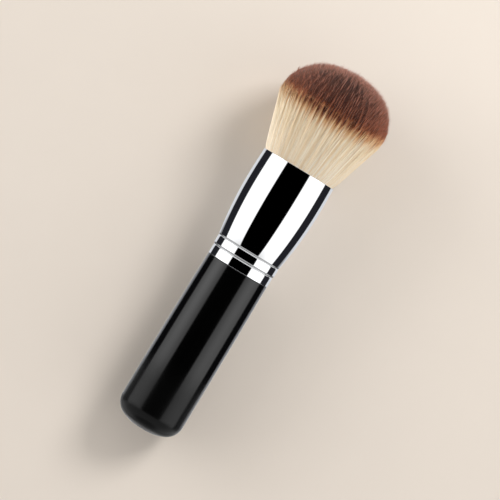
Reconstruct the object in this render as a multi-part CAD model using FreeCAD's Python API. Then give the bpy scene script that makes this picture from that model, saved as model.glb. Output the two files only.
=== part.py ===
"""A short-handled powder brush: a turned handle, a crimped ferrule and a domed head of two-tone fibres.

The brush stands on its foot, with +Z along its axis and the origin at the centre of the foot.
Lengths are in millimetres. Every piece but the thread is a turned shape, drawn as a half section
in the plane of X and Z and swept once round the axis.
"""

import FreeCAD, Part

import math
import os

# Handle: hardwood turned to a slight taper, lacquered black, with a domed butt and a small flat foot
handle_length = 53.4  # from the foot to the shoulder that carries the ferrule
butt_diameter = 20.2  # the widest part of the handle, just above the rounded butt
shoulder_lean = 0.3  # how much less the radius is at the shoulder than at the butt
foot_diameter = 8.0  # the flat that the brush stands on
butt_dome_rise = 3.3  # from the crown of the dome under the butt to the handle's side
butt_corner_round = 5.4
shoulder_round = 0.2
tenon_length = 12.0  # what goes up into the ferrule
tenon_chamfer = 0.8

# Ferrule: one drawn aluminium tube, bright plated, rolled into two crimps over the tenon
ferrule_wall = 0.3
ferrule_proud = 0.05  # how far the lowest band stands out from the handle's shoulder
band_step = 0.2  # how much larger the radius of the band between the crimps is than the lowest band's
lower_crimp_height = 3.08  # from the ferrule's lower edge to the middle of the crimp
crimp_spacing = 3.05
crimp_depth = 0.15  # below the band under the crimp
crimp_root_round = 0.05
crimp_lip_round = 0.8
barrel_foot_round = 0.8  # where the barrel turns in to the upper crimp
barrel_swell = 1.7  # from the band between the crimps to the barrel's widest part
barrel_widest_below_mouth = 8.4
mouth_draw_in = 0.18  # how much less the radius is at the mouth than at the widest part
lower_edge_round = 0.12
rim_round = 0.1

# Glue and resin that hold the two ends of the ferrule
glue_film = 0.12  # between the tenon and the ferrule's lowest band
setting_gap = 2.0  # empty space between the tenon and the resin
resin_floor = 4.0  # solid resin under the fibre roots
resin_collar = 4.5  # how far the resin climbs round the fibre roots

# Thread that binds the fibre roots
thread_diameter = 0.6
thread_turns = 4
thread_gap = 0.5  # between one turn and the next
thread_seat = 0.05  # between the fibres and the thread
thread_margin = 0.5  # clear of the turns, above and below
points_per_turn = 120  # where the gap between turns is measured

# Head: dense synthetic fibres, spread by the ferrule's mouth and cut to a dome
root_setback = 1.1  # how much smaller the bound roots' radius is than the mouth's bore
fibre_sleeve = 5.6  # fibre inside the ferrule, from above the thread to the mouth
fibre_clearance = 0.08  # between the fibres and the mouth's bore
head_spread = 5.7  # how much further out the head's widest part is than the fibres at the mouth
head_widest_height = 18.5  # above the mouth
dome_height = 13.6  # from the head's widest part to its crown
flank_bow = 0.12  # how far the head's sides bow out from straight
crown_round = 25.0  # radius of the broad arc over the crown

# Radii, worked out from the handle outwards
butt_radius = butt_diameter / 2
shoulder_radius = butt_radius - shoulder_lean
lower_band_radius = shoulder_radius + ferrule_proud
upper_band_radius = lower_band_radius + band_step
barrel_radius = upper_band_radius + barrel_swell
mouth_radius = barrel_radius - mouth_draw_in
tenon_radius = lower_band_radius - ferrule_wall - glue_film
mouth_fibre_radius = mouth_radius - ferrule_wall - fibre_clearance
root_radius = mouth_radius - ferrule_wall - root_setback
head_radius = mouth_fibre_radius + head_spread

# Heights above the foot, stacked as the brush is assembled
ferrule_z = handle_length
lower_crimp_z = ferrule_z + lower_crimp_height
upper_crimp_z = lower_crimp_z + crimp_spacing
tenon_top_z = ferrule_z + tenon_length
resin_z = tenon_top_z + setting_gap
root_z = resin_z + resin_floor
collar_z = root_z + resin_collar
thread_pitch = thread_diameter + thread_gap
thread_z = collar_z + thread_margin + thread_diameter / 2
thread_top_z = thread_z + thread_turns * thread_pitch
sleeve_z = thread_top_z + thread_diameter / 2 + thread_margin
mouth_z = sleeve_z + fibre_sleeve
barrel_widest_z = mouth_z - barrel_widest_below_mouth
head_widest_z = mouth_z + head_widest_height
crown_z = head_widest_z + dome_height

axis_point = FreeCAD.Vector(0, 0, 0)
axis_direction = FreeCAD.Vector(0, 0, 1)


# Drawing a half section: points are a radius and a height, edges run on from each other
def at(radius, height):
    return FreeCAD.Vector(radius, 0, height)


def straight(start, end):
    return Part.LineSegment(start, end).toShape()


def round_corner(centre, radius, start_angle, end_angle):
    """The arc about centre between two angles, which are counted from outwards, turning upwards."""
    angles = (start_angle, (start_angle + end_angle) / 2, end_angle)
    points = [centre + radius * at(math.cos(a), math.sin(a)) for a in angles]
    return Part.Arc(*points).toShape()


def upright_circle(upright, other):
    """Centre and radius of the circle through both points that stands upright at the first one."""
    lean = upright.x - other.x
    radius = ((other.z - upright.z) ** 2 + lean**2) / (2 * lean)
    return at(upright.x - radius, upright.z), radius


def upright_arc(upright, other):
    """The arc of that circle from its upright end to the other end."""
    centre, radius = upright_circle(upright, other)
    return round_corner(centre, radius, 0, math.asin((other.z - upright.z) / radius))


def bowed(start, end, bow):
    """An arc from start to end whose middle stands out from the straight line by bow."""
    along = (end - start).normalize()
    outwards = at(along.z, -along.x)
    return Part.Arc(start, (start + end) / 2 + bow * outwards, end).toShape()


def turned(edges):
    """The solid that a closed half section sweeps about the axis."""
    section = Part.Face(Part.Wire(edges))
    return section.revolve(axis_point, axis_direction, 360)


def slab(low, high):
    """A round slab between two heights, wider than anything inside the ferrule."""
    return Part.makeCylinder(barrel_radius, high - low, at(0, low))


def where_circles_meet(centre_a, radius_a, centre_b, radius_b):
    """The outer of the two points that lie at both distances from the two centres."""
    between = centre_b - centre_a
    distance = between.Length
    along = (radius_a**2 - radius_b**2 + distance**2) / (2 * distance)
    aside = math.sqrt(radius_a**2 - along**2)
    between.normalize()
    outwards = at(abs(between.z), -between.x * math.copysign(1, between.z))
    return centre_a + along * between + aside * outwards


# Crimps: each is a round-bottomed groove, which pushes the same ridge into the ferrule's bore
def crimp_centre(height, band_radius):
    """Centre of the groove's round bottom, in the half section."""
    return at(band_radius - crimp_depth + crimp_root_round, height)


lower_crimp = crimp_centre(lower_crimp_z, lower_band_radius)
upper_crimp = crimp_centre(upper_crimp_z, upper_band_radius)


def lip_centre(groove, band_radius, side):
    """Centre of the rounded lip where a groove meets a band, below (side -1) or above it (side 1)."""
    reach = crimp_root_round + crimp_lip_round
    inset = band_radius - crimp_lip_round - groove.x
    return at(band_radius - crimp_lip_round, groove.z + side * math.sqrt(reach**2 - inset**2))


def angle_from(centre, target):
    return math.atan2(target.z - centre.z, target.x - centre.x)


def groove_edges(groove, low_lip, high_lip, high_round, high_angle):
    """Lower lip, bottom and upper lip of one crimp. The upper lip ends at high_angle."""
    to_groove = angle_from(low_lip, groove)
    from_groove = angle_from(high_lip, groove)
    return [
        round_corner(low_lip, crimp_lip_round, 0, to_groove),
        round_corner(groove, crimp_root_round, to_groove + math.pi, from_groove + math.pi),
        round_corner(high_lip, high_round, from_groove, high_angle),
    ]


def crimp_ridge(groove, allowance):
    """The ring that a crimp pushes inwards, thickened by an allowance."""
    tube = crimp_root_round + ferrule_wall + allowance
    return Part.makeTorus(groove.x, tube, at(0, groove.z), axis_direction)


# Handle
def make_handle():
    foot_radius = foot_diameter / 2
    dome_radius = (butt_radius**2 + butt_dome_rise**2) / (2 * butt_dome_rise)
    dome_centre = at(0, math.sqrt(dome_radius**2 - foot_radius**2))
    corner_inset = butt_radius - butt_corner_round
    corner_drop = math.sqrt((dome_radius - butt_corner_round) ** 2 - corner_inset**2)
    corner = at(corner_inset, dome_centre.z - corner_drop)
    foot_edge = at(foot_radius, 0)
    dome_angles = angle_from(dome_centre, foot_edge), angle_from(dome_centre, corner)

    side_top = at(shoulder_radius, ferrule_z - shoulder_round)
    shoulder = at(shoulder_radius - shoulder_round, ferrule_z)
    tenon_foot = at(tenon_radius, ferrule_z)
    chamfer_foot = at(tenon_radius, tenon_top_z - tenon_chamfer)
    chamfer_top = at(tenon_radius - tenon_chamfer, tenon_top_z)
    body = turned([
        straight(at(0, 0), foot_edge),
        round_corner(dome_centre, dome_radius, *dome_angles),
        round_corner(corner, butt_corner_round, dome_angles[1], 0),
        upright_arc(at(butt_radius, corner.z), side_top),
        round_corner(at(shoulder.x, side_top.z), shoulder_round, 0, math.pi / 2),
        straight(shoulder, tenon_foot),
        straight(tenon_foot, chamfer_foot),
        straight(chamfer_foot, chamfer_top),
        straight(chamfer_top, at(0, tenon_top_z)),
        straight(at(0, tenon_top_z), at(0, 0)),
    ])
    return body.cut([crimp_ridge(lower_crimp, glue_film), crimp_ridge(upper_crimp, glue_film)])


# Ferrule
widest = at(barrel_radius, barrel_widest_z)
barrel_centre, barrel_round = upright_circle(widest, at(upper_band_radius, upper_crimp_z))
mouth_centre, mouth_round = upright_circle(widest, at(mouth_radius, mouth_z))


def barrel_edges(inset, start_angle):
    """The barrel from its foot to its mouth, moved inwards by inset."""
    mouth_angle = math.asin((mouth_z - widest.z) / (mouth_round - inset))
    return [
        round_corner(barrel_centre, barrel_round - inset, start_angle, 0),
        round_corner(mouth_centre, mouth_round - inset, 0, mouth_angle),
    ]


def make_cavity():
    """The whole inside of the ferrule, from its lower edge to its mouth."""
    lower_bore = lower_band_radius - ferrule_wall
    upper_bore = upper_band_radius - ferrule_wall
    foot_angle = math.asin((upper_crimp_z - widest.z) / (barrel_round - ferrule_wall))
    barrel = barrel_edges(ferrule_wall, foot_angle)
    barrel_foot = barrel[0].Vertexes[0].Point
    mouth = barrel[-1].Vertexes[-1].Point
    profile = [
        straight(at(0, ferrule_z), at(lower_bore, ferrule_z)),
        straight(at(lower_bore, ferrule_z), at(lower_bore, lower_crimp_z)),
        straight(at(lower_bore, lower_crimp_z), at(upper_bore, lower_crimp_z)),
        straight(at(upper_bore, lower_crimp_z), at(upper_bore, upper_crimp_z)),
        straight(at(upper_bore, upper_crimp_z), barrel_foot),
        *barrel,
        straight(mouth, at(0, mouth_z)),
        straight(at(0, mouth_z), at(0, ferrule_z)),
    ]
    return turned(profile).cut([crimp_ridge(lower_crimp, 0), crimp_ridge(upper_crimp, 0)])


def make_ferrule(cavity):
    low_lip = lip_centre(lower_crimp, lower_band_radius, -1)
    mid_lip = lip_centre(lower_crimp, upper_band_radius, 1)
    high_lip = lip_centre(upper_crimp, upper_band_radius, -1)
    foot = where_circles_meet(
        upper_crimp, crimp_root_round + barrel_foot_round, barrel_centre, barrel_round - barrel_foot_round
    )
    foot_angle = angle_from(barrel_centre, foot)
    barrel = barrel_edges(0, foot_angle)
    mouth = barrel[-1].Vertexes[-1].Point
    edge = at(lower_band_radius - lower_edge_round, ferrule_z + lower_edge_round)
    outside = turned([
        straight(at(0, ferrule_z), at(edge.x, ferrule_z)),
        round_corner(edge, lower_edge_round, -math.pi / 2, 0),
        straight(at(lower_band_radius, edge.z), at(lower_band_radius, low_lip.z)),
        *groove_edges(lower_crimp, low_lip, mid_lip, crimp_lip_round, 0),
        straight(at(upper_band_radius, mid_lip.z), at(upper_band_radius, high_lip.z)),
        *groove_edges(upper_crimp, high_lip, foot, barrel_foot_round, foot_angle),
        *barrel,
        straight(mouth, at(0, mouth_z)),
        straight(at(0, mouth_z), at(0, ferrule_z)),
    ])
    tube = outside.cut(cavity)
    rim = [e for e in tube.Edges if e.BoundBox.ZMin > mouth_z - rim_round]
    return tube.makeFillet(rim_round, rim)


# Head
def make_bristle_bundle():
    """Outer form of the packed fibres, from the bound roots to the dome of tips."""
    root_edge = at(root_radius, root_z)
    sleeve_foot = at(root_radius, sleeve_z)
    mouth = at(mouth_fibre_radius, mouth_z)
    widest_edge = at(head_radius, head_widest_z)
    crown = at(0, crown_z)
    # The shoulder's arc stands upright at the widest part and goes over smoothly into the crown's arc
    reach = 2 * crown_round * dome_height - dome_height**2 - head_radius**2
    dome_shoulder = reach / (2 * (crown_round - head_radius))
    shoulder = at(head_radius - dome_shoulder, head_widest_z)
    crown_centre = at(0, crown_z - crown_round)
    dome_angle = angle_from(crown_centre, shoulder)
    return turned([
        straight(at(0, root_z), root_edge),
        straight(root_edge, sleeve_foot),
        upright_arc(sleeve_foot, mouth),
        bowed(mouth, widest_edge, flank_bow),
        round_corner(shoulder, dome_shoulder, 0, dome_angle),
        round_corner(crown_centre, crown_round, dome_angle, math.pi / 2),
        straight(crown, at(0, root_z)),
    ])


# Thread
winding_radius = root_radius + thread_seat + thread_diameter / 2
climb = thread_pitch / (2 * math.pi)  # height gained for each radian of winding


def on_winding(angle, radius):
    return FreeCAD.Vector(
        radius * math.cos(angle), radius * math.sin(angle), thread_z + climb * angle
    )


def along_winding(angle):
    return FreeCAD.Vector(
        -winding_radius * math.sin(angle), winding_radius * math.cos(angle), climb
    ).normalize()


def joint_radius(half):
    """Radius at which two equal arcs, half an angle each, join smoothly in the middle of a stretch."""
    across = winding_radius * math.sin(half)
    even = winding_radius * across * math.cos(half) + climb**2 * half
    chord = across * (across**2 + (climb * half) ** 2)
    return winding_radius * math.cos(half) + (math.sqrt(even**2 + across * chord) - even) / across


def arc_leaving(start, direction, end):
    """The arc that leaves start in a direction and passes through end."""
    chord = end - start
    along = FreeCAD.Vector(chord).normalize()
    turn = direction.getAngle(along)
    inwards = (along * direction.dot(along) - direction).normalize()
    sagitta = chord.Length / 2 * math.tan(turn / 2)
    return Part.Arc(start, (start + end) / 2 - inwards * sagitta, end).toShape()


def least_gap(path):
    """Clear space between turns: the least distance between points half a turn or more apart on the path."""
    points = path.discretize(Number=thread_turns * points_per_turn)
    apart = points_per_turn // 2
    pairs = ((a, b) for i, a in enumerate(points) for b in points[i + apart :])
    return min(a.distanceToPoint(b) for a, b in pairs) - thread_diameter


def make_binding_thread():
    """Thread wound round the fibre roots, on pairs of arcs that each cover a quarter turn."""
    half = math.pi / 4
    joint = joint_radius(half)
    edges = []
    for quarter in range(4 * thread_turns):
        start, middle, end = (2 * quarter * half + k * half for k in range(3))
        between = on_winding(middle, joint)
        edges.append(arc_leaving(on_winding(start, winding_radius), along_winding(start), between))
        edges.append(arc_leaving(on_winding(end, winding_radius), along_winding(end).negative(), between))
    path = Part.Wire(edges)
    print("least gap between turns", round(least_gap(path), 3))
    section = Part.Circle(on_winding(0, winding_radius), along_winding(0), thread_diameter / 2)
    return path.makePipeShell([Part.Wire(section.toShape())], True, False)


def main():
    os.makedirs("parts", exist_ok=True)
    cavity = make_cavity()
    handle = make_handle()
    bundle = make_bristle_bundle()
    pieces = {
        "handle": handle,
        "ferrule": make_ferrule(cavity),
        "tenon_glue": cavity.common(slab(ferrule_z, tenon_top_z)).cut(handle),
        "resin_plug": cavity.common(slab(resin_z, collar_z)).cut(bundle),
        "binding_thread": make_binding_thread(),
        "bristle_bundle": bundle,
    }
    for name, shape in pieces.items():
        print(name, shape.ShapeType, len(shape.Solids), shape.isValid(), round(shape.Volume, 2))
        shape.exportStep(f"parts/{name}.step")
    print("overall length", crown_z, "head diameter", 2 * head_radius)


main()
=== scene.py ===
import math

import bpy
import numpy as np
from mathutils import Matrix, Vector


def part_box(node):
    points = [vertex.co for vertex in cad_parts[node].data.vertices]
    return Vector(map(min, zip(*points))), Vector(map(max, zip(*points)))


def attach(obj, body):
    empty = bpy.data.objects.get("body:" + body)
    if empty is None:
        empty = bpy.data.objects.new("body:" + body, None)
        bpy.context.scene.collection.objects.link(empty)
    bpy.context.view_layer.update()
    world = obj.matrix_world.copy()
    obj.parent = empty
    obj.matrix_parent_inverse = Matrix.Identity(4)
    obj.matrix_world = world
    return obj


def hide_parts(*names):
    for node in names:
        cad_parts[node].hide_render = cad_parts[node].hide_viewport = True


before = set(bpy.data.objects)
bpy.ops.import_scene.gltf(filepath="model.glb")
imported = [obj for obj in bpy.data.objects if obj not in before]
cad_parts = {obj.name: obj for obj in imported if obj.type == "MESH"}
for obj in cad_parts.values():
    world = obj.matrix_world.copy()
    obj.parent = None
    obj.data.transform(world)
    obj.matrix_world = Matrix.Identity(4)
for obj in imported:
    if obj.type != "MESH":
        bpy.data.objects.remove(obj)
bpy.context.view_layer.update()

# Handle: a hardwood dowel turned to a slight taper, sanded and sprayed with gloss black lacquer.
# Its butt is a shallow dome with a small flat foot. Above the shoulder a hidden tenon, pressed in by
# the lower crimp, goes up into the ferrule.
mm = 0.001


def corners(node):
    """The lowest and highest corner of a node's box, in millimetres."""
    low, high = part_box(node)
    return np.array(low) / mm, np.array(high) / mm


_, handle_high = corners("handle")
ferrule_low, ferrule_high = corners("ferrule")
butt_radius = handle_high[0]
tenon_top = handle_high[2]
shoulder_height = ferrule_low[2]
side_taper = 0.3
shoulder_radius = butt_radius - side_taper
shoulder_round = 0.2
foot_radius = 4.0
dome_rise = 3.3
corner_round = 5.4
tenon_radius = 9.43
tenon_chamfer = 0.8

# What the tenon is held by: the tube's wall, the film of glue, the tube's two lowest bands, and each
# crimp as the middle of its groove's round bottom, a radius and a height
wall = 0.3
glue_film = 0.12
lower_band_step = 0.05
upper_band_step = 0.2
lower_band = shoulder_radius + lower_band_step
upper_band = lower_band + upper_band_step
crimp_round = 0.05
crimp_depth = 0.15
lower_crimp_rise = 3.08
upper_crimp_rise = 6.13
lower_crimp = np.array([lower_band - crimp_depth + crimp_round, shoulder_height + lower_crimp_rise])
upper_crimp = np.array([upper_band - crimp_depth + crimp_round, shoulder_height + upper_crimp_rise])


def eased(start, end, count):
    """Numbers from start to end that crowd towards both ends, as a half turn of a cosine does, so
    that the smooth shading of a flat or a round stays true right up to where it ends."""
    share = (1 - np.cos(np.linspace(0, np.pi, count))) / 2
    return start + (end - start) * share


def run(start, end, count=12):
    """A straight line of (radius, height) points."""
    return np.stack([eased(start[0], end[0], count), eased(start[1], end[1], count)], axis=1)


def arc(centre, radius, start, end, count=24):
    """Points at one radius from a centre, from one angle to another: centre + radius (cos, sin)."""
    angle = eased(start, end, count)
    return centre + radius * np.stack([np.cos(angle), np.sin(angle)], axis=1)


def upright_circle(upright, other):
    """Centre and radius of the circle through two points that stands upright at the first one:
    radius = (rise^2 + lean^2) / (2 lean)."""
    lean = upright[0] - other[0]
    radius = ((other[1] - upright[1]) ** 2 + lean**2) / (2 * lean)
    return np.array([upright[0] - radius, upright[1]]), radius


def outline(*stretches):
    """One line of points from stretches that each start where the last one ended."""
    return np.concatenate([stretches[0]] + [s[1:] for s in stretches[1:]])


def ring_groove(crimp, tube, radius, count=20):
    """The hollow that a ring of round section leaves in a cylinder, from its lower to its upper edge."""
    half = math.acos((crimp[0] - radius) / tube)
    return arc(crimp, tube, math.pi + half, math.pi - half, count)


def new_piece(name, points, faces, smooth=True):
    """An object at the origin from points in millimetres and arrays of faces, each array's faces
    having one count of corners."""
    mesh = bpy.data.meshes.new(name)
    loops = np.concatenate([f.ravel() for f in faces])
    sizes = np.concatenate([np.full(len(f), f.shape[1]) for f in faces])
    mesh.vertices.add(len(points))
    mesh.vertices.foreach_set("co", (points * mm).ravel())
    mesh.loops.add(len(loops))
    mesh.loops.foreach_set("vertex_index", loops.astype(np.int32))
    mesh.polygons.add(len(sizes))
    mesh.polygons.foreach_set("loop_start", (np.cumsum(sizes) - sizes).astype(np.int32))
    mesh.polygons.foreach_set("use_smooth", np.full(len(sizes), smooth))
    mesh.update(calc_edges=True)
    piece = bpy.data.objects.new(name, mesh)
    bpy.context.collection.objects.link(piece)
    return piece


def turned(name, profile, around=192, closed=False):
    """A surface of revolution: a point (radius, height) of the profile goes round the axis to
    (radius cos a, radius sin a, height). A closed profile makes a ring, and an open one starts and
    ends on the axis, where it closes to a single point."""
    rows = profile if closed else profile[1:-1]
    count = len(rows)
    angle = np.linspace(0, 2 * np.pi, around, endpoint=False)
    radius, height = rows[:, :1], rows[:, 1:]
    grid = np.stack([radius * np.cos(angle), radius * np.sin(angle), height + 0 * angle], axis=2)
    points = grid.reshape(-1, 3)
    index = np.arange(count * around).reshape(count, around)
    low = index if closed else index[:-1]
    high = np.roll(index, -1, axis=0) if closed else index[1:]
    quads = np.stack([low, np.roll(low, -1, axis=1), np.roll(high, -1, axis=1), high], axis=2)
    faces = [quads.reshape(-1, 4)]
    if not closed:
        ends = np.array([[0, 0, profile[0, 1]], [0, 0, profile[-1, 1]]])
        first, last = index[0], index[-1]
        foot = np.full(around, len(points))
        faces.append(np.stack([foot, np.roll(first, -1), first], axis=1))
        faces.append(np.stack([foot + 1, last, np.roll(last, -1)], axis=1))
        points = np.concatenate([points, ends])
    return new_piece(name, points, faces)


dome_radius = (butt_radius**2 + dome_rise**2) / (2 * dome_rise)
dome_centre = np.array([0, math.sqrt(dome_radius**2 - foot_radius**2)])
corner_inset = butt_radius - corner_round
corner_drop = math.sqrt((dome_radius - corner_round) ** 2 - corner_inset**2)
corner_centre = np.array([corner_inset, dome_centre[1] - corner_drop])
dome_start = -math.acos(foot_radius / dome_radius)
dome_end = -math.acos(corner_inset / (dome_radius - corner_round))
side_top = shoulder_height - shoulder_round
side_centre, side_radius = upright_circle(
    (butt_radius, corner_centre[1]), (shoulder_radius, side_top)
)
hollow = ring_groove(lower_crimp, crimp_round + wall + glue_film, tenon_radius)
handle_profile = outline(
    run((0, 0), (foot_radius, 0)),
    arc(dome_centre, dome_radius, dome_start, dome_end),
    arc(corner_centre, corner_round, dome_end, 0, 40),
    arc(side_centre, side_radius, 0, math.asin((side_top - side_centre[1]) / side_radius), 40),
    arc((shoulder_radius - shoulder_round, side_top), shoulder_round, 0, math.pi / 2),
    run((shoulder_radius - shoulder_round, shoulder_height), (tenon_radius, shoulder_height), 4),
    run((tenon_radius, shoulder_height), hollow[0], 6),
    hollow,
    run(hollow[-1], (tenon_radius, tenon_top - tenon_chamfer), 6),
    run((tenon_radius, tenon_top - tenon_chamfer), (tenon_radius - tenon_chamfer, tenon_top), 6),
    run((tenon_radius - tenon_chamfer, tenon_top), (0, tenon_top)),
)
handle = turned("lacquered_handle", handle_profile)


class Signal:
    """One output in a tree of shader nodes. Sums, differences and products of signals and numbers add
    Math nodes."""

    def __init__(self, tree, socket=None):
        self.tree = tree
        self.socket = socket

    def node(self, kind, settings=(), sockets=(), output=0):
        """Adds a node of a type, with its settings first and then its sockets' values or links."""
        made = self.tree.nodes.new("ShaderNode" + kind)
        settings = dict(settings)
        stops = settings.pop("stops", [])
        for key, value in settings.items():
            setattr(made, key, value)
        for number, (place, colour) in enumerate(stops):
            elements = made.color_ramp.elements
            stop = elements[number] if number < 2 else elements.new(place)
            stop.position = place
            stop.color = (*colour, 1)
        for key, value in dict(sockets).items():
            if isinstance(value, Signal):
                self.tree.links.new(value.socket, made.inputs[key])
            else:
                made.inputs[key].default_value = value
        return Signal(self.tree, made.outputs[output]) if len(made.outputs) else None

    def math(self, operation, *values):
        """One operation of a Math node on signals or numbers."""
        return self.node("Math", {"operation": operation}, dict(enumerate(values)))

    def __add__(self, other):
        return self.math("ADD", self, other)

    def __sub__(self, other):
        return self.math("SUBTRACT", self, other)

    def __rsub__(self, other):
        return self.math("SUBTRACT", other, self)

    def __mul__(self, other):
        return self.math("MULTIPLY", self, other)

    __radd__ = __add__
    __rmul__ = __mul__

    def rise(self, low, high):
        """A smooth step from 0 at low to 1 at high."""
        return self.node(
            "MapRange",
            {"interpolation_type": "SMOOTHSTEP"},
            {"Value": self, "From Min": low, "From Max": high},
        )

    def mix(self, first, second):
        """The colour that goes from first to second as this signal goes from 0 to 1."""
        return self.node("Mix", {"data_type": "RGBA"}, {0: self, 6: first, 7: second}, output=2)

    def stretched(self, along, across):
        """These coordinates with the given counts of pattern per metre along and across the axis."""
        return self.node("Mapping", {}, {"Vector": self, "Scale": (across, across, along)})

    def noise(self, scale, detail=2.0):
        """Smooth noise from 0 to 1 on these coordinates."""
        return self.node("TexNoise", {}, {"Vector": self, "Scale": scale, "Detail": detail})


def new_material(name):
    """An empty material and the signal that its nodes start from."""
    material = bpy.data.materials.new(name)
    material.use_nodes = True
    material.node_tree.nodes.clear()
    return material, Signal(material.node_tree)


def grey(level):
    """A neutral colour."""
    return (level, level, level, 1)


def lacquer():
    """Deep gloss black with the faint ripple of a sprayed coat. Towards the butt, where it is held most,
    it has worn to a softer gloss with a film of fine dust, which shows where the surface turns away."""
    material, start = new_material("black_lacquer")
    place = start.node("TexCoord", output="Object")
    height = start.node("SeparateXYZ", {}, {"Vector": place}, output="Z")
    ripple = place.noise(650, 1)
    smears = place.noise(90, 3)
    grain = place.stretched(60, 900).noise(1, 2)
    bump = start.node("Bump", {}, {"Strength": 0.03, "Distance": 0.00005, "Height": ripple})
    black = grain.mix(grey(0.0003), grey(0.0009))

    coat = {"Base Color": black, "Normal": bump}
    fresh = start.node("BsdfPrincipled", {}, {**coat, "Roughness": 0.1 + 0.05 * smears, "IOR": 1.5})
    dusty = start.node(
        "BsdfPrincipled",
        {},
        {
            **coat,
            "Roughness": 0.2 + 0.1 * smears,
            "IOR": 1.33,
            "Sheen Weight": 0.75,
            "Sheen Roughness": 0.3,
        },
    )
    worn_most = 0.85
    worn_height = height + 0.006 * (smears - 0.5)
    worn = worn_most - worn_most * worn_height.rise(0.012, 0.024)
    surface = start.node("MixShader", {}, {0: worn, 1: fresh, 2: dusty})
    start.node("OutputMaterial", {}, {"Surface": surface})
    return material


handle.data.materials.append(lacquer())
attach(handle, "root")
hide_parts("handle")


# Glue: a thin film of amber wood glue between the tenon and the bore, squeezed out as the crimps are
# rolled. It can't be seen on the finished brush.
def glue():
    """Amber glue, paler where the film is thin, with small bubbles."""
    material, start = new_material("tenon_glue")
    place = start.node("TexCoord", output="Object")
    film = place.noise(350, 3)
    bubbles = place.node("TexVoronoi", {}, {"Vector": place, "Scale": 1200.0}, output="Distance")
    bump = start.node("Bump", {}, {"Strength": 0.2, "Distance": 0.0001, "Height": bubbles})
    shader = start.node(
        "BsdfPrincipled",
        {},
        {
            "Base Color": film.mix((0.42, 0.26, 0.09, 1), (0.62, 0.45, 0.2, 1)),
            "Roughness": 0.3 + 0.25 * film,
            "Normal": bump,
        },
    )
    start.node("OutputMaterial", {}, {"Surface": shader})
    return material


def dress(node, material):
    """Gives a CAD node one material in all its slots."""
    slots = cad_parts[node].data.materials
    slots.clear()
    slots.append(material)


dress("tenon_glue", glue())

# Ferrule: one drawn aluminium tube, plated mirror bright. Its lower end is rolled into two crimps over
# the tenon, and above them the barrel swells to grip the fibres.
mouth_height = ferrule_high[2]
barrel_radius = ferrule_high[0]
barrel_widest_drop = 8.4
mouth_draw = 0.18
barrel_widest = np.array([barrel_radius, mouth_height - barrel_widest_drop])
mouth = np.array([barrel_radius - mouth_draw, mouth_height])
lip_round = 0.8
barrel_foot_round = 0.8
lower_edge_round = 0.12
rim_round = 0.1
ridge = crimp_round + wall
barrel_centre, barrel_round = upright_circle(barrel_widest, (upper_band, upper_crimp[1]))
mouth_centre, mouth_round = upright_circle(barrel_widest, mouth)


def angle_from(centre, target):
    """The angle at which a target lies from a centre, up from the outward direction."""
    return math.atan2(target[1] - centre[1], target[0] - centre[0])


def meeting(centre_a, radius_a, centre_b, radius_b):
    """The outer of the two points that lie at both distances from the two centres."""
    between = centre_b - centre_a
    distance = np.hypot(*between)
    along = (radius_a**2 - radius_b**2 + distance**2) / (2 * distance)
    aside = math.sqrt(radius_a**2 - along**2)
    ahead = between / distance
    outwards = np.array([abs(ahead[1]), -ahead[0] * np.sign(ahead[1])])
    return centre_a + along * ahead + aside * outwards


def lip(crimp, band, side):
    """Centre of the round lip between a crimp and the band below it (side -1) or above it (side 1)."""
    inset = band - lip_round - crimp[0]
    away = math.sqrt((crimp_round + lip_round) ** 2 - inset**2)
    return np.array([band - lip_round, crimp[1] + side * away])


def crimp_line(crimp, low_lip, high_lip, high_round, high_angle):
    """One crimp from its lower lip through its round bottom to its upper lip."""
    down = angle_from(low_lip, crimp)
    up = angle_from(high_lip, crimp)
    return outline(
        arc(low_lip, lip_round, 0, down, 14),
        arc(crimp, crimp_round, down + math.pi, up + math.pi, 18),
        arc(high_lip, high_round, up, high_angle, 18),
    )


def ring_ridge(crimp, start, bore):
    """The hump that a crimp pushes into the tube, from a point on it down to the bore below it."""
    half = math.acos((crimp[0] - bore) / ridge)
    return arc(crimp, ridge, angle_from(crimp, start), math.pi + half, 12)


low_lip = lip(lower_crimp, lower_band, -1)
mid_lip = lip(lower_crimp, upper_band, 1)
high_lip = lip(upper_crimp, upper_band, -1)
barrel_foot = meeting(
    upper_crimp, crimp_round + barrel_foot_round, barrel_centre, barrel_round - barrel_foot_round
)
foot_angle = angle_from(barrel_centre, barrel_foot)
mouth_angle = math.asin((mouth_height - rim_round - mouth_centre[1]) / mouth_round)
lower_bore, upper_bore = lower_band - wall, upper_band - wall
barrel_inside = barrel_round - wall
ridge_top = meeting(upper_crimp, ridge, barrel_centre, barrel_inside)
bore_step = math.sqrt(ridge**2 - (lower_crimp[0] - upper_bore) ** 2)
meeting_bore = np.array([upper_bore, lower_crimp[1] + bore_step])
lower_hump = ring_ridge(lower_crimp, meeting_bore, lower_bore)
upper_hump = ring_ridge(upper_crimp, ridge_top, upper_bore)
lower_edge = np.array([lower_band, shoulder_height]) + (-lower_edge_round, lower_edge_round)
outer_edge = mouth - rim_round
inner_edge = mouth + np.array([rim_round - wall, -rim_round])
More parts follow.
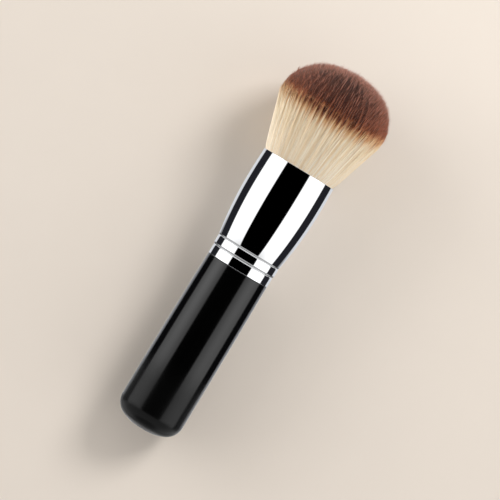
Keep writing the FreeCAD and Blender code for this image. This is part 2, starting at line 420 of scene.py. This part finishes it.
ferrule_profile = outline(
    arc(lower_edge, lower_edge_round, -math.pi / 2, 0, 10),
    run((lower_band, lower_edge[1]), (lower_band, low_lip[1])),
    crimp_line(lower_crimp, low_lip, mid_lip, lip_round, 0),
    run((upper_band, mid_lip[1]), (upper_band, high_lip[1])),
    crimp_line(upper_crimp, high_lip, barrel_foot, barrel_foot_round, foot_angle),
    arc(barrel_centre, barrel_round, foot_angle, 0, 40),
    arc(mouth_centre, mouth_round, 0, mouth_angle, 24),
    arc(outer_edge, rim_round, mouth_angle, math.pi / 2, 10),
    arc(inner_edge, rim_round, math.pi / 2, math.pi, 10),
    arc(mouth_centre, mouth_round - wall, mouth_angle, 0, 12),
    arc(barrel_centre, barrel_inside, 0, angle_from(barrel_centre, ridge_top), 16),
    upper_hump,
    run(upper_hump[-1], lower_hump[0], 4),
    lower_hump,
    run(lower_hump[-1], (lower_bore, shoulder_height), 4),
    run((lower_bore, shoulder_height), (lower_edge[0], shoulder_height), 4)[:-1],
)
ferrule = turned("bright_ferrule", ferrule_profile, closed=True)


def bright_plating():
    """Mirror-bright metal, with fine polishing lines round the tube that dull it by a hair."""
    material, start = new_material("bright_metal")
    place = start.node("TexCoord", output="Object")
    lines = place.stretched(9000, 40).noise(1, 3)
    smears = place.noise(160, 3).rise(0.5, 0.8)
    bump = start.node("Bump", {}, {"Strength": 0.012, "Distance": 0.00002, "Height": lines})
    shader = start.node(
        "BsdfPrincipled",
        {},
        {
            "Base Color": smears.mix((0.88, 0.885, 0.895, 1), (0.85, 0.855, 0.865, 1)),
            "Metallic": 1.0,
            "Roughness": 0.025 + 0.02 * lines + 0.02 * smears,
            "Normal": bump,
        },
    )
    start.node("OutputMaterial", {}, {"Surface": shader})
    return material


ferrule.data.materials.append(bright_plating())
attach(ferrule, "root")
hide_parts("ferrule")


# Resin: a cup of clear amber casting resin, poured into the barrel round the fibre roots, which it locks
# to the tube. It is hidden by the ferrule.
def resin():
    """Amber resin, clouded by the fibre ends that it wets."""
    material, start = new_material("casting_resin")
    place = start.node("TexCoord", output="Object")
    cloud = place.noise(260, 4)
    bump = start.node("Bump", {}, {"Strength": 0.1, "Distance": 0.0002, "Height": cloud})
    shader = start.node(
        "BsdfPrincipled",
        {},
        {
            "Base Color": cloud.mix((0.5, 0.27, 0.07, 1), (0.72, 0.52, 0.24, 1)),
            "Roughness": 0.12 + 0.15 * cloud,
            "Normal": bump,
        },
    )
    start.node("OutputMaterial", {}, {"Surface": shader})
    return material


dress("resin_plug", resin())


# Thread: waxed polyester, wound four times round the fibre roots and pulled tight before the bundle is
# set. It is hidden by the ferrule too.
def waxed_thread():
    """Off-white thread with the slanting lines of its twist."""
    material, start = new_material("waxed_thread")
    place = start.node("TexCoord", output="Object")
    twist = place.node(
        "TexWave",
        {"wave_type": "BANDS", "bands_direction": "DIAGONAL"},
        {"Vector": place, "Scale": 900.0, "Distortion": 1.5},
    )
    shade = twist.node("SeparateColor", {}, {"Color": twist})
    bump = start.node("Bump", {}, {"Strength": 0.3, "Distance": 0.0001, "Height": shade})
    shader = start.node(
        "BsdfPrincipled",
        {},
        {
            "Base Color": shade.mix((0.5, 0.46, 0.38, 1), (0.8, 0.76, 0.66, 1)),
            "Roughness": 0.5 + 0.2 * shade,
            "Normal": bump,
        },
    )
    start.node("OutputMaterial", {}, {"Surface": shader})
    return material


dress("binding_thread", waxed_thread())

# Bristle bundle: tens of thousands of tapered synthetic fibres, cream with tips dyed brown. They are
# bound at the root, spread by the ferrule's mouth and set in a mould to a dome.
bundle_low, bundle_high = corners("bristle_bundle")
root_height = bundle_low[2]
crown_height = bundle_high[2]
head_radius = bundle_high[0]
widest_rise = 18.5
mouth_slack = 0.08
root_slack = 1.1
sleeve_depth = 5.6
widest_height = mouth_height + widest_rise
mouth_fibre_radius = mouth[0] - wall - mouth_slack
root_radius = mouth[0] - wall - root_slack
sleeve_height = mouth_height - sleeve_depth
crown_round = 25.0
flank_bow = 0.12
mouth_swell = 0.25
fan_apex = mouth_height - mouth_fibre_radius * (widest_height - mouth_height) / (
    head_radius - mouth_fibre_radius
)
golden_angle = math.pi * (3 - math.sqrt(5))
dice = np.random.default_rng(20)

# Single fibres: most tips fall short of the dome and some stand out of it, the dome leans, locks of
# fibres draw together, each fibre sways on its own, and it tapers over the last few millimetres
fibre_radius = 0.08
thickness_spread = 0.25
mouth_overlap = 1.2
swell_rise = 1.5
trim_depth = 0.3
trim_lean = 0.025
standing_share = 0.25
standing_out = 0.45
falling_short = 1.6
tip_inset = 0.05
tip_scatter = 0.1
lock_pull = 0.18
sway = 0.25
least_loose = 0.3
taper_length = 3
taper = 0.5

# Dye: its line above the mouth, with a dip at the front, waves, scatter and a few long streaks. The
# map that the colours are read from spans dye_span millimetres, dye_start of them below the line.
dye_rise = 18.9
dye_height = mouth_height + dye_rise
dye_span = 40.0
dye_start = 22.0
dye_dip = 2.3
dye_wave = 0.45
dye_scatter = 0.5
streak_share = 0.08
streak_shortest = 1
streak_longest = 4

# Tone, from 0 for deep to 1 for light: it goes by locks, and single fibres differ from theirs. Fibres
# that stand out get painted rim light, tips get painted glints, and painted shade deepens the dyed front
# up to the crown
tone_middle = 0.46
tone_spread = 0.33
tone_contrast = 2.0
tone_shift = -0.9
tone_scatter = 0.6
standing_clear = 0.5
standing_painted_light = 0.35
tip_painted_glint = 0.5
tone_limit = 0.97
front_painted_shade = 0.40
front_shade_fade = 4
crown_radius = 4
crown_fade = 8


def dome(radius):
    """Height of the dome of tips: a large arc over the crown, which goes over smoothly into a
    shoulder arc that stands upright at the head's widest part."""
    rise = crown_height - widest_height
    reach = 2 * crown_round * rise - rise**2 - head_radius**2
    dome_shoulder = reach / (2 * (crown_round - head_radius))
    shoulder = head_radius - dome_shoulder
    crown_centre = crown_height - crown_round
    join = crown_round * shoulder / math.hypot(shoulder, widest_height - crown_centre)
    over_crown = crown_centre + np.sqrt(crown_round**2 - np.minimum(radius, join) ** 2)
    aside = np.clip(radius - shoulder, 0, dome_shoulder)
    over_shoulder = widest_height + np.sqrt(dome_shoulder**2 - aside**2)
    return np.where(radius < join, over_crown, over_shoulder)


def tips_from_roots(share):
    """Radius of the tips whose fibres leave the mouth at a share of its radius. Fibres fan out from
    one point on the axis, so a tip at (radius, height) left the mouth at
    radius (mouth - apex) / (height - apex). The table of that is read backwards."""
    tip = np.linspace(0, head_radius, 400)
    left = tip * (mouth_height - fan_apex) / (dome(tip) - fan_apex)
    return np.interp(share * mouth_fibre_radius, left, tip)


def locks(turn, share, waves):
    """A sum of waves round the head, with a spread of 1, by which fibres differ in locks."""
    count, drift, phase = waves
    total = np.sin(np.outer(turn, count) + np.outer(share, drift) + phase).sum(axis=1)
    return total * math.sqrt(2 / len(count))


def new_waves(low, high, slant, amount):
    """Random whole counts of waves round the head, how they slant inwards, and where they start."""
    count = dice.integers(low, high, amount)
    return count, dice.uniform(-slant, slant, amount), dice.uniform(0, 2 * np.pi, amount)


lock_waves = new_waves(low=60, high=220, slant=20, amount=6)
tone_waves = new_waves(low=45, high=150, slant=9, amount=6)
dye_waves = new_waves(low=30, high=160, slant=20, amount=6)


def fibres(name, share, length, levels, loose=0.0):
    """Fibres as three-sided tubes that taper to a point. In the order of their shares they are a golden
    angle apart, like the seeds of a sunflower. Each one runs down from its tip on the dome towards
    the fan's point, bowed outwards by bow 4 t (1 - t) with t from the mouth to the tip, and its upper
    part sways by a random amount times t squared. Its rings lie at the given levels, which are shares
    of its length. Its place on the map is its tone across and its height above its own dye line up.
    A fibre is at the front by the square of the cosine of its turn from there."""
    count = len(share)
    share = np.sort(share)
    turn = dice.uniform(0, 2 * np.pi) + golden_angle * np.arange(count)
    tip_radius = tips_from_roots(share)
    trim = np.where(dice.random(count) < standing_share, standing_out, -falling_short)
    trim = trim * np.abs(dice.normal(size=count))
    tip_height = dome(tip_radius) - trim_depth + trim + trim_lean * tip_radius * np.cos(turn)
    low = np.maximum(tip_height - length, mouth_height - mouth_overlap)
    height = low[:, None] + (tip_height - low)[:, None] * np.array(levels)
    radius = (tip_radius / (dome(tip_radius) - fan_apex))[:, None] * (height - fan_apex)
    t = np.clip((height - mouth_height) / (tip_height - mouth_height)[:, None], 0, 1)
    clear = np.clip((height - mouth_height) / swell_rise, 0, 1)
    swell = flank_bow * 4 * t * (1 - t) + mouth_swell * clear * (1 - t)
    drawn = locks(turn, share, lock_waves)
    outwards = dice.normal(-tip_inset, tip_scatter, count)
    outwards = outwards + loose * dice.uniform(least_loose, 1, count)
    radius = radius + share[:, None] ** 2 * swell + outwards[:, None] * t**2
    aside = lock_pull * drawn[:, None] * t**2 + dice.normal(0, sway, count)[:, None] * t**2
    around = turn[:, None] + aside / np.maximum(radius, 1)
    tip_turn = around[:, -1]
    path = np.stack([radius * np.cos(around), radius * np.sin(around), height], axis=2)

    near_tip = np.clip(1 - (tip_height[:, None] - height) / taper_length, 0, 1)
    thickness = dice.uniform(1 - thickness_spread, 1 + thickness_spread, count)
    thick = fibre_radius * (1 - taper * near_tip) * thickness[:, None]
    side = dice.uniform(0, 2 * np.pi, count)[:, None] + np.arange(3) * 2 * np.pi / 3
    spoke = np.stack([np.cos(side), np.sin(side), 0 * side], axis=2)
    rings = path[:, :-1, None] + thick[:, :-1, None, None] * spoke[:, None]
    points = np.concatenate([rings.reshape(count, -1, 3), path[:, -1:]], axis=1)

    own = np.arange(count)[:, None] * points.shape[1]
    ring = np.arange(3 * (len(levels) - 1)).reshape(-1, 3)
    low_ring, high_ring = ring[:-1], ring[1:]
    quads = np.stack(
        [low_ring, np.roll(low_ring, -1, axis=1), np.roll(high_ring, -1, axis=1), high_ring], axis=2
    ).reshape(-1)
    top = ring[-1]
    point = np.full(3, ring.size)
    cone = np.stack([top, np.roll(top, -1), point], axis=1).reshape(-1)
    faces = [
        (own + quads).reshape(-1, 4),
        (own + cone).reshape(-1, 3),
        own + np.array([2, 1, 0]),
    ]
    piece = new_piece(name, points.reshape(-1, 3), faces)

    off_crown = np.clip((tip_radius - crown_radius) / crown_fade, 0, 1)
    front = np.clip(-np.sin(turn), 0, 1) ** 2 * off_crown
    lock_tone = tone_contrast * locks(tip_turn, share, tone_waves)
    tone = np.tanh(lock_tone + dice.normal(tone_shift, tone_scatter, count))
    # Painted light: fibres that stand clear of the dome are made lighter, for the glow of light at the
    # rim
    tone = tone_middle + tone_spread * tone + np.where(trim > standing_clear, standing_painted_light, 0)
    streaked = dice.random(count) < streak_share
    streak = np.where(streaked, -dice.uniform(streak_shortest, streak_longest, count), 0)
    line = dye_height - dye_dip * front + dye_wave * locks(tip_turn, share, dye_waves) + streak
    line = line + dice.normal(0, dye_scatter, count)
    level = (height - line[:, None] + dye_start) / dye_span
    # Painted shade: the dyed part of fibres at the front is made deeper, fading out towards the crown
    dyed = np.clip((height - line[:, None]) / front_shade_fade + 0.5, 0, 1)
    across = tone[:, None] - front_painted_shade * front[:, None] ** 2 * dyed
    # Painted glints: the last millimetres of each fibre are made lighter
    across = np.minimum(across * (1 + tip_painted_glint * near_tip**2), tone_limit)

    # The three corners of a ring lie a little apart on the map, so that its faces have an area there
    offset = np.array([-0.004, 0, 0.004])
    nudge = np.array([0, 0.003, 0])
    u = np.concatenate([(across[:, :-1, None] + offset).reshape(count, -1), across[:, -1:]], axis=1)
    v = np.concatenate([(level[:, :-1, None] + nudge).reshape(count, -1), level[:, -1:]], axis=1)
    place_on_map(piece, np.stack([u, v], axis=2).reshape(-1, 2))
    return piece


def place_on_map(piece, places):
    """Gives each point of a piece its place on the map that its colours are read from."""
    mesh = piece.data
    point = np.empty(len(mesh.loops), np.int32)
    mesh.loops.foreach_get("vertex_index", point)
    layer = mesh.uv_layers.new(name="OFBake")
    layer.uv.foreach_set("vector", np.clip(places, 0.01, 0.99)[point].ravel())


def dyed_fibre():
    """Cream fibre dyed brown from the dye line up, reddish where the dye thins out. Deep tones lie on
    the left of the map and light ones on the right."""
    material, start = new_material("dyed_fibre")
    place = start.node("UVMap", {"uv_map": "OFBake"})
    tone = start.node("SeparateXYZ", {}, {"Vector": place}, output="X")
    height = start.node("SeparateXYZ", {}, {"Vector": place}, output="Y")

    def stops(colours):
        """Colours at heights above the dye line, in millimetres, as stops on the map."""
        return [((dye_start + above) / dye_span, colour) for above, colour in colours]

    deep = start.node(
        "ValToRGB",
        {
            "stops": stops([
                (-18, (0.92, 0.735, 0.50)),
                (-4.0, (0.93, 0.735, 0.475)),
                (-1.2, (0.74, 0.42, 0.19)),
                (0.5, (0.30, 0.085, 0.032)),
                (1.5, (0.03, 0.006, 0.003)),
                (15, (0.006, 0.002, 0.001)),
            ])
        },
        {0: height},
    )
    light = start.node(
        "ValToRGB",
        {
            "stops": stops([
                (-18, (1.0, 0.945, 0.83)),
                (-3.2, (0.995, 0.90, 0.72)),
                (-0.6, (0.86, 0.58, 0.30)),
                (0.9, (0.54, 0.19, 0.08)),
                (2.1, (0.40, 0.12, 0.058)),
                (15, (0.52, 0.24, 0.175)),
            ])
        },
        {0: height},
    )
    shader = start.node(
        "BsdfPrincipled",
        {},
        {
            "Base Color": tone.mix(deep, light),
            "Roughness": 0.5,
            "Specular IOR Level": 0.2,
            "Sheen Weight": 0.3,
            "Sheen Roughness": 0.3,
            "Sheen Tint": (1.0, 0.84, 0.76, 1),
        },
    )
    start.node("OutputMaterial", {}, {"Surface": shader})
    return material


fibre_finish = dyed_fibre()
head = []

# The middle of the bundle, turned to fit the imported bundle's size, which shows only as dark gaps
# between the fibres that cover it. A slight slant on the map gives the faces of its flat rings an area
# there.
under_mouth = 0.4
under_flank = 0.7
under_dome = 1.6
core_tone = 0.12
core_stripe = 0.08
core_stripes = 48
core_slant = 0.0004
core_mouth = (mouth_fibre_radius - under_mouth, mouth_height)
core_widest = (head_radius - under_flank, widest_height)
dome_turn = eased(0, math.pi / 2, 40)
dome_shrink = (head_radius - under_flank) / head_radius
core_profile = outline(
    run((0, root_height), (root_radius, root_height)),
    run((root_radius, root_height), (root_radius, sleeve_height)),
    run((root_radius, sleeve_height), core_mouth),
    run(core_mouth, core_widest),
    np.stack(
        [
            dome_shrink * head_radius * np.cos(dome_turn),
            dome(head_radius * np.cos(dome_turn)) - under_dome * np.sin(dome_turn),
        ],
        axis=1,
    ),
)
core = turned("packed_fibres", core_profile, around=96)
core_points = np.empty(3 * len(core.data.vertices), np.float32)
core.data.vertices.foreach_get("co", core_points)
x, y, z = core_points.reshape(-1, 3).T / mm
across = core_tone + core_stripe * np.sin(core_stripes * np.arctan2(y, x))
level = (z - dye_height + dye_start) / dye_span + core_slant * x
place_on_map(core, np.stack([across, level], axis=1))
head.append(core)

# The long fibres of the flank, which show from the mouth to their tips
flank_count = 4200
flank_depth = 0.12
flank_length = 40
flank_levels = [0, 0.06, 0.13, 0.3, 0.55, 0.8, 0.92, 1]
for number in range(3):
    share = 1 - flank_depth * dice.random(flank_count) ** 1.5
    head.append(fibres(f"flank_fibres_{number + 1}", share, flank_length, flank_levels))

# The upper ends of the fibres between them, whose tips make the dome
crown_count = 12000
crown_share = 0.9
crown_length = 7
crown_levels = [0, 0.4, 0.75, 1]
for number in range(4):
    share = np.sqrt(dice.uniform(0, crown_share, crown_count))
    head.append(fibres(f"crown_fibres_{number + 1}", share, crown_length, crown_levels))

# A few fibres that have sprung loose
loose_count = 60
loose_levels = np.linspace(0, 1, 9)
share = np.sqrt(dice.uniform(crown_share, 1, loose_count))
head.append(fibres("loose_fibres", share, flank_length, loose_levels, loose=1.0))

for piece in head:
    piece.data.materials.append(fibre_finish)
    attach(piece, "root")
    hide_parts("bristle_bundle")

# Floor: a sheet of pale matt paper that the brush lies on, so it stands behind the brush here. It
# touches the butt and the head's widest part, and is clear when seen from its underside.
floor_reach = 1500.0
floor_gap = 0.3
floor_colour = (0.745, 0.667, 0.587, 1)
floor_mottle = 0.97
floor_slope = (head_radius - butt_radius) / (widest_height - corner_centre[1])
side, along = np.meshgrid([-floor_reach, floor_reach], [-floor_reach, floor_reach])
behind = butt_radius + floor_gap + floor_slope * (along - corner_centre[1])
floor_points = np.stack([side, behind, along], axis=2).reshape(-1, 3)
floor = new_piece("paper_floor", floor_points, [np.array([[0, 1, 3, 2]])], smooth=False)


def pale_paper():
    """Matt warm paper on its upper side, and nothing on its underside."""
    material, start = new_material("pale_paper")
    place = start.node("TexCoord", output="Object")
    mottle = place.noise(60, 4)
    darker = tuple(floor_mottle * c for c in floor_colour[:3]) + (1,)
    paper = start.node(
        "BsdfPrincipled",
        {},
        {
            "Base Color": mottle.mix(darker, floor_colour),
            "Roughness": 0.9,
            "Specular IOR Level": 0.1,
        },
    )
    clear = start.node("BsdfTransparent")
    underside = start.node("NewGeometry", output="Backfacing")
    surface = start.node("MixShader", {}, {0: underside, 1: paper, 2: clear})
    start.node("OutputMaterial", {}, {"Surface": surface})
    return material


floor.data.materials.append(pale_paper())
floor.visible_diffuse = False
floor.visible_glossy = False
floor.visible_shadow = False

# Studio: two upright soft panels, one on each side of the camera, with dark walls between and beside
# them, a pale wall behind the brush and pale paper above and below.
panel_left = grey(2.4)
panel_right = grey(2.0)
panel_edge = grey(1.2)
dark_side = (0.017, 0.017, 0.021, 1)
pale_wall = (0.73, 0.745, 0.78, 1)
pale_above = grey(0.72)
pale_below = grey(0.44)
dark_below = grey(0.13)


def degrees(*angles):
    """Angles given in degrees, in radians."""
    return [math.radians(a) for a in angles]


# Where each light begins and where it is full, by the turn from the camera's side or by the climb. The
# feet of the panels and the shade of the butt go by the height of the direction, from -1 to 1.
panels_begin = degrees(37, 67)
panels_end = degrees(70, 100)
panels_foot = (-0.11, -0.02)
dark_begins = degrees(99, 101)
wall_begins = degrees(137.3, 139.3)
caps_begin = degrees(16, 24)
shade_below = (-0.95, -0.85)
shade_behind = degrees(137, 139)
shade_behind_top = (-0.15, -0.06)
gap_wide, gap_tall = degrees(37.8, 22.5)
gap_power = 8.0
gap_edge = (0.97, 1.03)


def studio():
    """Light by direction: bands by the angle round the upright axis from the camera's side, with pale
    caps above and below. The panels are brightest in the middle, and the butt's own shade makes it dark
    straight below and low behind. In front is a black opening whose edge is where
    (turn / wide)^power + (climb / tall)^power = 1. The camera sees the floor's colour all round."""
    world = bpy.data.worlds.new("studio")
    world.use_nodes = True
    world.node_tree.nodes.clear()
    start = Signal(world.node_tree)
    direction = start.node("TexCoord", output="Generated")
    x = start.node("SeparateXYZ", {}, {"Vector": direction}, output="X")
    y = start.node("SeparateXYZ", {}, {"Vector": direction}, output="Y")
    z = start.node("SeparateXYZ", {}, {"Vector": direction}, output="Z")
    turn = start.math("ARCTAN2", start.math("ABSOLUTE", x), -1 * y)
    climb = start.math("ABSOLUTE", start.math("ARCSINE", z))
    panel = x.rise(-0.01, 0.01).mix(panel_left, panel_right)
    middle = turn.rise(*panels_begin) * (1 - turn.rise(*panels_end)) * z.rise(*panels_foot)
    panel = middle.mix(panel_edge, panel)
    light = turn.rise(*dark_begins).mix(panel, dark_side)
    light = turn.rise(*wall_begins).mix(light, pale_wall)
    caps = z.rise(-0.1, 0.1).mix(pale_below, pale_above)
    light = climb.rise(*caps_begin).mix(light, caps)
    below = 1 - z.rise(*shade_below)
    behind = turn.rise(*shade_behind) * (1 - z.rise(*shade_behind_top))
    light = (below + behind).mix(light, dark_below)
    wide = start.math("POWER", turn * (1 / gap_wide), gap_power)
    tall = start.math("POWER", climb * (1 / gap_tall), gap_power)
    opening = start.math("POWER", wide + tall, 1 / gap_power)
    light = opening.rise(*gap_edge).mix(grey(0.0), light)
    seen = start.node("LightPath", output="Is Camera Ray")
    background = start.node("Background", {}, {"Color": seen.mix(light, floor_colour)})
    start.node("OutputWorld", {}, {"Surface": background})
    return world


scene = bpy.context.scene
scene.world = studio()
scene.view_settings.view_transform = "Standard"

# Camera: square to the brush but for a slight rise, and turned so that the brush leans to the right in
# the picture. Its lens takes in picture_width metres at the brush's axis.
lean, rise = degrees(31.2, 1.4)
camera_distance = 0.79
picture_width = 0.1445
looked_at = Vector((0.00008, 0, 0.0601))
level_right = Vector((1, 0, 0))
level_up = Vector((0, math.sin(rise), math.cos(rise)))
towards_camera = Vector((0, -math.cos(rise), math.sin(rise)))
picture_right = math.cos(lean) * level_right + math.sin(lean) * level_up
picture_up = math.cos(lean) * level_up - math.sin(lean) * level_right


def facing(right, up, back, place):
    """The placing of a camera or lamp whose own axes point right, up and backwards."""
    turn = Matrix((right, up, back)).transposed().to_4x4()
    return Matrix.Translation(place) @ turn


camera = bpy.data.objects.new("camera", bpy.data.cameras.new("camera"))
bpy.context.collection.objects.link(camera)
camera.data.lens = camera.data.sensor_width * camera_distance / picture_width
camera.matrix_world = facing(
    picture_right, picture_up, towards_camera, looked_at + camera_distance * towards_camera
)
scene.camera = camera

# Lamps: a soft box high on the right of the picture, which throws the brush's shadow to the left, and
# two wide low ones that light the brush's sides.
lamp_distance = 0.6


def soft_box(name, width, watts, aside, turn):
    """A square lamp that faces the brush. It stands aside of the camera by one angle, in the direction
    that the other one gives, from the picture's right and up; both are in degrees."""
    aside, turn = degrees(aside, turn)
    side = math.cos(turn) * picture_right + math.sin(turn) * picture_up
    back = math.cos(aside) * towards_camera + math.sin(aside) * side
    right = picture_up.cross(back).normalized()
    light = bpy.data.lights.new(name, "AREA")
    light.size = width
    light.energy = watts
    lamp = bpy.data.objects.new(name, light)
    bpy.context.collection.objects.link(lamp)
    lamp.matrix_world = facing(right, back.cross(right), back, looked_at + lamp_distance * back)
    lamp.visible_camera = False
    lamp.visible_glossy = False


soft_box("main_lamp", width=0.22, watts=2.3, aside=50, turn=32)
soft_box("left_lamp", width=0.8, watts=4.0, aside=88, turn=150)
soft_box("right_lamp", width=0.8, watts=0.6, aside=85, turn=-30)
